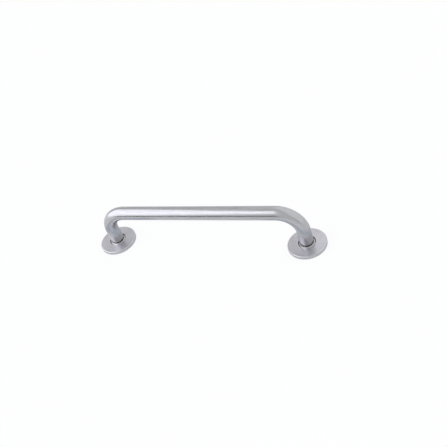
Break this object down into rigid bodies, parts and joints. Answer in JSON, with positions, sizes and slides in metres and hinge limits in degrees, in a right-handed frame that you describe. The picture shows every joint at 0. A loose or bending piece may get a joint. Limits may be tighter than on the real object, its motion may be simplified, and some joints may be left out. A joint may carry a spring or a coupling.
{
  "type": "grab rail",
  "caption": "Straight grab rail in satin stainless tube, bent down at both ends to round flanges, with pull-up covers that hide the countersunk fixing screws.",
  "frame": {"origin": "on the mounting plane, midway between the two legs", "axes": "+X along the bar towards the right foot; +Z straight out of the mounting plane, towards the bar; +Y across the bar"},
  "size_m": [0.45, 0.07, 0.112],
  "materials": {
    "satin_tube": "satin-polished stainless tube with a fine grain along its length",
    "satin_cover": "satin pressed stainless with a fine turned grain",
    "mill_plate": "laser-cut stainless plate, dull mill surface",
    "weld_metal": "rippled weld bead with a faint heat tint",
    "screw_steel": "bright stainless screw"
  },
  "bodies": {
    "rail": {"rail_tube": "satin_tube", "left_flange_plate": "mill_plate", "left_weld_bead": "weld_metal", "left_screw_1": "screw_steel", "left_screw_2": "screw_steel", "left_screw_3": "screw_steel", "right_flange_plate": "mill_plate", "right_weld_bead": "weld_metal", "right_screw_1": "screw_steel", "right_screw_2": "screw_steel", "right_screw_3": "screw_steel"},
    "left_cover": {"left_cover": "satin_cover"},
    "right_cover": {"right_cover": "satin_cover"}
  },
  "joints": [
    {"name": "left_cover_slide", "type": "slide", "parent": "rail", "child": "left_cover", "axis": [0, 0, 1], "range_m": [0, 0.038]},
    {"name": "right_cover_slide", "type": "slide", "parent": "rail", "child": "right_cover", "axis": [0, 0, 1], "range_m": [0, 0.038]}
  ]
}
